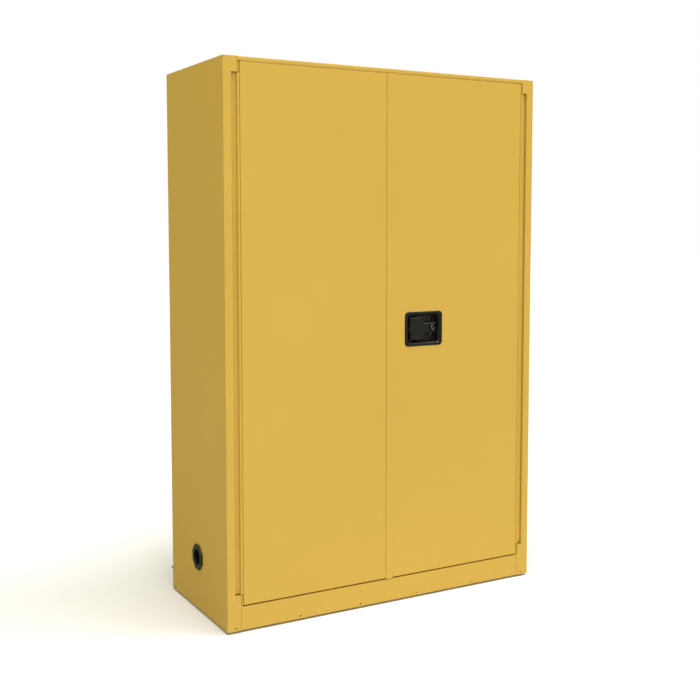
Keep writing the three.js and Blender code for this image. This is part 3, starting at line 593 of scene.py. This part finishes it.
def latch_cup():
    """A moulded cup: a crowned flange on the door, drafted walls and a filleted floor, in one surface."""
    x0, x1, z0, z1 = CAVITY
    face, back = TRAY_LOW.y, TRAY_HIGH.y - 5
    floor = back - TRAY_WALL

    def inside(inset, depth):
        corner = max(CAVITY_CORNER - inset, 1.5)
        return [(x, depth, z) for x, z in rounded(x0 + inset, x1 - inset, z0 + inset, z1 - inset, corner)]

    def flange(inset, depth):
        spans = (TRAY_LOW.x + inset, TRAY_HIGH.x - inset, TRAY_LOW.z + inset, TRAY_HIGH.z - inset)
        return [(x, depth, z) for x, z in rounded(*spans, TRAY_CORNER - inset)]

    rings = [
        inside(5.5, floor),
        inside(3.4, floor - 0.1),
        inside(2.0, floor - 0.8),
        inside(1.3, floor - 2.4),
        inside(0.5, 4.0),
        inside(0.2, 3.0),
        inside(-0.2, 2.4),
        inside(-3.8, face + 0.5),
        inside(-4.2, face + 0.15),
        inside(-4.7, face),
        flange(5.2, face),
        flange(3.4, face + 0.1),
        flange(1.9, face + 0.5),
        flange(0.8, face + 1.1),
        flange(0.2, face + 1.7),
        flange(0.0, -GAP),
        inside(-TRAY_WALL, -GAP),
        inside(-TRAY_WALL, back - 2),
        inside(-TRAY_WALL + 1.5, back),
    ]
    boss = turned("xz", 95, 866, [(4, back - 1), (4, TRAY_HIGH.y)], 24)
    pin_bosses = [
        turned("xy", PADDLE_X, PADDLE_DEPTH, [(4.4, outer), (4.0, inner)], 24)
        for outer, inner in ((z0 - 1, z0 + 5.4), (z1 + 1, z1 - 4.4))
    ]
    tail_way = box(72, 91, back - 4, back + 1, 825, 837)
    cam_way = box(x1 - 2, x1 + 4, 13, 19, LOCK_Z - 15, LOCK_Z + 6)
    pin_way = turned("xy", PADDLE_X, PADDLE_DEPTH, [(2.3, z0 - 4), (2.3, z1 + 4)], 16)
    return cut(joined(loft(rings), boss, *pin_bosses), tail_way, cam_way, pin_way)


def latch_handle():
    """The paddle: a plate with a broad chamfer and one clipped corner, an arm with a pocket, and a tail."""
    plate_low, plate_high = low("paddle"), high("paddle")
    z0, z1 = plate_low.z, plate_high.z
    x0, x1 = 73, 125
    clip = (9, 15)

    def plate(inset, depth):
        a, b = clip[0] - inset * 0.35, clip[1] - inset * 0.75
        corners = [
            (x0 + inset, z0 + inset), (x1 - inset, z0 + inset), (x1 - inset, z1 - inset - b),
            (x1 - inset - a, z1 - inset), (x0 + inset, z1 - inset),
        ]
        return [(x, depth, z) for x, z in corners]

    face = plate_low.y
    body = loft([plate(0.8, 5.5), plate(0, 4.8), plate(0, face + 3.2), plate(3.0, face)])
    body = modified(body, ("BEVEL", {"width": 0.6, "segments": 3, "limit_method": "ANGLE"}))

    def arm_outline(inset, depth):
        end, bottom, top = ARM_END - inset, ARM_Z[0] + inset, ARM_Z[1] - inset
        return [(x, depth, z) for x, z in ((x1 - 4, bottom), (end, bottom), (end, top), (x1 - 4, top))]

    arm = loft([arm_outline(inset, depth) for inset, depth in ((2.6, 1.5), (0, 4.1), (0, 11))])
    arm = modified(arm, ("BEVEL", {"width": 0.5, "segments": 3, "limit_method": "ANGLE"}))
    barrel_profile = [(3.0, z0), (3.6, z0 + 0.6), (3.6, z1 - 0.6), (3.0, z1)]
    barrel = turned("xy", PADDLE_X, PADDLE_DEPTH, barrel_profile, 28)
    tail = box(PADDLE_X - 1.5, PADDLE_X + 1.5, PADDLE_DEPTH, PADDLE_DEPTH + 27.2, 826, 836)
    pocket = prism("xz", rounded(144, 168, LOCK_Z - 12, LOCK_Z + 12, 1.5), -1, 9.2)
    lock_way = turned("xz", LOCK_X, LOCK_Z, [(LOCK_R + 0.3, 0), (LOCK_R + 0.3, 14)], 48)
    pin_way = turned("xy", PADDLE_X, PADDLE_DEPTH, [(2.3, z0 - 4), (2.3, z1 + 4)], 16)
    spring_way = turned("xy", PADDLE_X, PADDLE_DEPTH, [(5, 850), (5, 870)], 24)
    return cut(joined(body, arm, barrel, tail), pocket, lock_way, pin_way, spring_way)


def make_latch():
    piece("latch_cup", latch_cup(), "right_door", "black_plastic", replaces=["latch_tray"])
    piece("latch_handle", latch_handle(), "paddle", "black_plastic", 0.25, replaces=["paddle"])

    rim = [(6.4, 2.2), (6.8, 1.3), (7.5, 0.7), (8.2, 0.6), (8.9, 1.0), (9.35, 1.8)]
    rim += [(9.5, 3.0), (9.5, 13), (6.4, 13)]
    barrel = turned("xz", LOCK_X, LOCK_Z, rim, 48, closed=True)
    piece("lock_barrel", barrel, "paddle", "black_plated_steel", replaces=["lock_cylinder"])

    plug_profile = [(0.6, 1.9), (5.3, 1.9), (6.0, 2.4), (6.1, 3.0), (6.1, 17.5), (0.6, 17.5)]
    plug = turned("xz", LOCK_X, LOCK_Z, plug_profile, 40)
    cam = prism("xz", rounded(LOCK_X - 4.5, LOCK_X + 4.5, LOCK_Z - 23.5, LOCK_Z + 4.5, 3), 14.2, 17.2)
    keyway = box(LOCK_X - 0.75, LOCK_X + 0.75, 0, 9, LOCK_Z - 4, LOCK_Z + 4)
    warding = box(LOCK_X - 1.6, LOCK_X + 0.2, 0, 9, LOCK_Z + 1.2, LOCK_Z + 2.6)
    piece("lock_key_plug", cut(joined(plug, cam), keyway, warding), "lock_plug", "black_plated_steel",
          0.15, replaces=["lock_plug"])

    pin_low, pin_high = low("paddle_pin").z, high("paddle_pin").z
    pin = [(1.3, pin_low), (1.9, pin_low + 0.6), (1.9, pin_high - 0.6), (1.3, pin_high)]
    piece("paddle_hinge_pin", turned("xy", PADDLE_X, PADDLE_DEPTH, pin, 24), "right_door", "plated_steel",
          replaces=["paddle_pin"])
    make_spring()


def make_spring():
    """Torsion spring round the paddle's pin."""
    wire, radius, turns, per_turn = 0.65, 3.4, 5, 28
    bottom, top = 852, 868
    rings = []
    for i in range(turns * per_turn + 1):
        t = 2 * math.pi * i / per_turn
        outward = Vector((math.cos(t), math.sin(t), 0))
        centre = Vector((PADDLE_X, PADDLE_DEPTH, bottom + (top - bottom) * i / (turns * per_turn)))
        centre += outward * radius
        rings.append([
            centre + outward * wire * math.cos(a) + Vector((0, 0, wire * math.sin(a)))
            for a in (math.pi * k / 5 for k in range(10))
        ])
    piece("paddle_torsion_spring", loft(rings), "right_door", "plated_steel", replaces=["paddle_spring"])


def vent_bung(side):
    """Octagonal plug with a hollow middle and a threaded shank, in one surface."""
    z = VENT_Z[side]
    face, inner = low("left_vent_cap").x, high("left_vent_cap").x
    seat = -HALF - GAP
    sides = 48
    corner = (high(side + "_vent_cap").z - low(side + "_vent_cap").z) / 2 / math.cos(math.pi / 8)

    def at(points, x):
        return [(x, depth, height) for depth, height in points]

    rings = [at(circle(MIDDLE, z, 26.2, sides), inner)]
    thread_pitch = 2.2
    x = inner - 0.8
    while x > seat + 2.4:
        rings.append(at(circle(MIDDLE, z, 27.4, sides), x))
        rings.append(at(circle(MIDDLE, z, 26.4, sides), x - thread_pitch / 2))
        x -= thread_pitch
    rings += [
        at(circle(MIDDLE, z, 27.4, sides), seat + 0.8),
        at(circle(MIDDLE, z, 27.4, sides), seat),
        at(polygon(MIDDLE, z, corner - 0.8, 8, sides), seat),
        at(polygon(MIDDLE, z, corner, 8, sides), seat - 0.7),
        at(polygon(MIDDLE, z, corner, 8, sides), face + 1.5),
        at(polygon(MIDDLE, z, corner - 0.4, 8, sides), face + 0.9),
        at(polygon(MIDDLE, z, corner - 1.6, 8, sides), face + 0.5),
        at(circle(MIDDLE, z, 29.5, sides), face + 0.5),
        at(circle(MIDDLE, z, 28.4, sides), face + 0.2),
        at(circle(MIDDLE, z, 27.4, sides), face),
        at(circle(MIDDLE, z, 25.4, sides), face),
        at(circle(MIDDLE, z, 24.2, sides), face + 0.5),
        at(circle(MIDDLE, z, 23.5, sides), face + 1.6),
        at(circle(MIDDLE, z, 23.0, sides), -HALF + 10.5),
        at(circle(MIDDLE, z, 22.0, sides), -HALF + 12.9),
        at(circle(MIDDLE, z, 19.5, sides), -HALF + 14),
        at(circle(MIDDLE, z, 4.0, sides), -HALF + 14.3),
    ]
    return loft(rings)


def woven_screen(side):
    """A flame screen: a crimped rim round a woven wire cloth."""
    z = VENT_Z[side]
    x0, x1 = low("left_flame_screen").x, high("left_flame_screen").x
    rim_profile = [(25, x0 + 0.2), (25.4, x0), (27.2, x0), (27.7, x0 + 0.5), (27.7, x1), (25, x1)]
    shells = [turned("yz", MIDDLE, z, rim_profile, 48, closed=True)]
    pitch, wire, middle_x = 2.2, 0.25, (x0 + x1) / 2
    reach = 26
    count = int(reach // pitch)
    for upright in (True, False):
        for n in range(-count, count + 1):
            across = n * pitch
            half = math.sqrt(reach ** 2 - across ** 2)
            steps = max(2, round(2 * half / (pitch / 2)))
            rings = []
            for i in range(steps + 1):
                along = -half + 2 * half * i / steps
                phase = along / pitch + n + (1 if upright else 0)
                x = middle_x + wire * math.cos(math.pi * phase)
                square = ((-1, -1), (1, -1), (1, 1), (-1, 1))
                corners = [(x + dx * wire, across + da * wire) for dx, da in square]
                if upright:
                    rings.append([(cx, MIDDLE + ca, z + along) for cx, ca in corners])
                else:
                    rings.append([(cx, MIDDLE + along, z + ca) for cx, ca in corners])
            shells.append(loft(rings))
    return merged(*shells)


def make_vents():
    for side in SIDES:
        mirrored = side == "right"
        piece(side + "_vent_bung", vent_bung(side), side + "_vent_cap", "black_plastic",
              replaces=[side + "_vent_cap"], mirrored=mirrored)
        piece(side + "_wire_screen", woven_screen(side), "cabinet", "plated_steel",
              replaces=[side + "_flame_screen"], mirrored=mirrored)


def make_feet():
    """Levelling feet: a round pad with spanner flats and a threaded stem."""
    sides = 48
    for end in ("front", "back"):
        for side in SIDES:
            node = f"{end}_{side}_foot"
            lo, hi = low(node), high(node)
            x, y = (lo.x + hi.x) / 2, (lo.y + hi.y) / 2
            pad = (hi.x - lo.x) / 2

            def at(points, z):
                return [(px, py, z) for px, py in points]

            pad_profile = [
                (pad - 1.2, 0), (pad - 0.3, 0.4), (pad, 1.2), (pad, 2.2), (pad - 0.8, 2.9), (11.5, 3.6),
            ]
            rings = [at(circle(x, y, r, sides), z) for r, z in pad_profile]
            rings += [at(polygon(x, y, 10.4, 6, sides), z) for z in (3.9, 6.1)]
            z = 6.2
            while z < hi.z - 2:
                rings.append(at(circle(x, y, 5.0, sides), z))
                rings.append(at(circle(x, y, 4.35, sides), z + 0.75))
                z += 1.5
            rings.append(at(circle(x, y, 3.6, sides), hi.z))
            piece(f"{end}_{side}_levelling_foot", loft(rings), node, "plated_steel", replaces=[node])


def make_ground_stud():
    """Brass stud, washer and wing nut on the back, for a bonding wire."""
    lo, hi = low("ground_stud"), high("ground_stud")
    x, z, back = (lo.x + hi.x) / 2, (lo.z + hi.z) / 2, lo.y
    stud = [(2.2, hi.y), (3.0, hi.y - 0.8), (3.0, back + 9), (4.4, back + 9), (5.6, back + 2)]
    stud += [(8.0, back + 2), (8.2, back + 1.6), (8.2, back + 0.2), (7.9, back)]
    hub = turned("xz", x, z, stud, 40)
    span = (hi.x - lo.x) / 2
    # A wing's outline, as its share of the span and its height in millimetres
    outline = [(0, -2.4), (0.45, -3.0), (0.8, -1.0), (1.0, 2.2), (0.95, 5.4)]
    outline += [(0.75, 7.0), (0.5, 6.2), (0.3, 3.2), (0, 2.4)]
    wings = []
    for s in (-1, 1):
        lobe = [(x + s * (3 + (span - 3) * a), z + b) for a, b in outline]
        wing = prism("xz", lobe, back + 4.6, back + 7.4)
        wings.append(modified(wing, ("BEVEL", {"width": 0.8, "segments": 3, "limit_method": "ANGLE"})))
    piece("ground_wing_nut", joined(hub, *wings), "cabinet", "brass", replaces=["ground_stud"])


# Studio

def make_stage():
    """A plain pale floor."""
    mesh = bpy.data.meshes.new("floor")
    reach = 30.0
    corners = [(-reach, -reach, 0), (reach, -reach, 0), (reach, reach, 0), (-reach, reach, 0)]
    mesh.from_pydata(corners, [], [(0, 1, 2, 3)])
    floor = bpy.data.objects.new("floor", mesh)
    bpy.context.scene.collection.objects.link(floor)
    f = Finish("pale floor", Roughness=0.9)
    f.shader.inputs["Specular IOR Level"].default_value = 0.1
    tone = f.between(f.noise(1.2, 2.0), 0.0, 1.0)
    mesh.materials.append(f.drive(Base_Color=f.blend(tone, (0.86, 0.86, 0.86, 1), (0.88, 0.88, 0.88, 1))))
    floor.visible_glossy = False


def sun(name, irradiance, softness, azimuth, elevation):
    """A broad source far away. Azimuth 0 shines from the front, and 90 from the right."""
    data = bpy.data.lights.new(name, "SUN")
    data.energy = irradiance
    data.angle = math.radians(softness)
    light = bpy.data.objects.new(name, data)
    light.rotation_euler = Euler((math.radians(90 - elevation), 0, math.radians(azimuth)))
    bpy.context.scene.collection.objects.link(light)


def make_light():
    """Soft studio light: a white room that is brightest at the front right, a broad key and an overhead."""
    world = bpy.data.worlds.new("studio")
    bpy.context.scene.world = world
    world.use_nodes = True
    tree = world.node_tree

    def node(kind, **settings):
        made = tree.nodes.new(kind)
        for key, value in settings.items():
            setattr(made, key, value)
        return made

    room = tree.nodes["Background"]
    room.inputs["Color"].default_value = (1, 1, 1, 1)
    facing = node("ShaderNodeVectorMath", operation="DOT_PRODUCT")
    facing.inputs[1].default_value = Vector((0.5, -0.8, 0.33)).normalized()
    turned_to_it = node("ShaderNodeMapRange")
    turned_to_it.inputs["From Min"].default_value = -1
    falling_off = node("ShaderNodeMath", operation="POWER")
    falling_off.inputs[1].default_value = 6
    level = node("ShaderNodeMapRange")
    level.inputs["To Min"].default_value = ROOM_LIGHT[0]
    level.inputs["To Max"].default_value = ROOM_LIGHT[1]
    tree.links.new(node("ShaderNodeTexCoord").outputs["Generated"], facing.inputs[0])
    tree.links.new(facing.outputs["Value"], turned_to_it.inputs["Value"])
    tree.links.new(turned_to_it.outputs["Result"], falling_off.inputs[0])
    tree.links.new(falling_off.outputs["Value"], level.inputs["Value"])
    tree.links.new(level.outputs["Result"], room.inputs["Strength"])
    tint = node("ShaderNodeMix", data_type="RGBA")
    tint.inputs[6].default_value = (1.0, 0.97, 0.55, 1)
    tint.inputs[7].default_value = (1, 1, 1, 1)
    tree.links.new(falling_off.outputs["Value"], tint.inputs[0])
    tree.links.new(tint.outputs[2], room.inputs["Color"])
    backdrop = node("ShaderNodeBackground")
    backdrop.inputs["Color"].default_value = (1, 1, 1, 1)
    mix = node("ShaderNodeMixShader")
    tree.links.new(node("ShaderNodeLightPath").outputs["Is Camera Ray"], mix.inputs[0])
    tree.links.new(room.outputs[0], mix.inputs[1])
    tree.links.new(backdrop.outputs[0], mix.inputs[2])
    tree.links.new(mix.outputs[0], tree.nodes["World Output"].inputs["Surface"])
    sun("key", KEY, 60, -25, 33)
    sun("overhead", OVERHEAD, 36, -10, 79)
    sun("edge", EDGE, 22, 62, 61)
    bpy.context.scene.view_settings.view_transform = "Standard"


def make_camera():
    """The photograph's view: from the front left, a little below the top of the cabinet."""
    data = bpy.data.cameras.new("camera")
    data.lens = 54.5
    data.sensor_width = 36
    data.shift_y = -0.06
    data.clip_end = 200
    camera = bpy.data.objects.new("camera", data)
    camera.location = (-1.699, -2.998, 1.179)
    camera.rotation_euler = Euler((math.radians(90 - 4.44), 0, math.radians(-29.4)))
    bpy.context.scene.collection.objects.link(camera)
    bpy.context.scene.camera = camera


make_camera()
make_light()
make_stage()
dress_cad_nodes()
make_doors()
make_header_lip()
make_hinges()
make_rivets()
make_latch()
make_vents()
make_feet()
make_ground_stud()
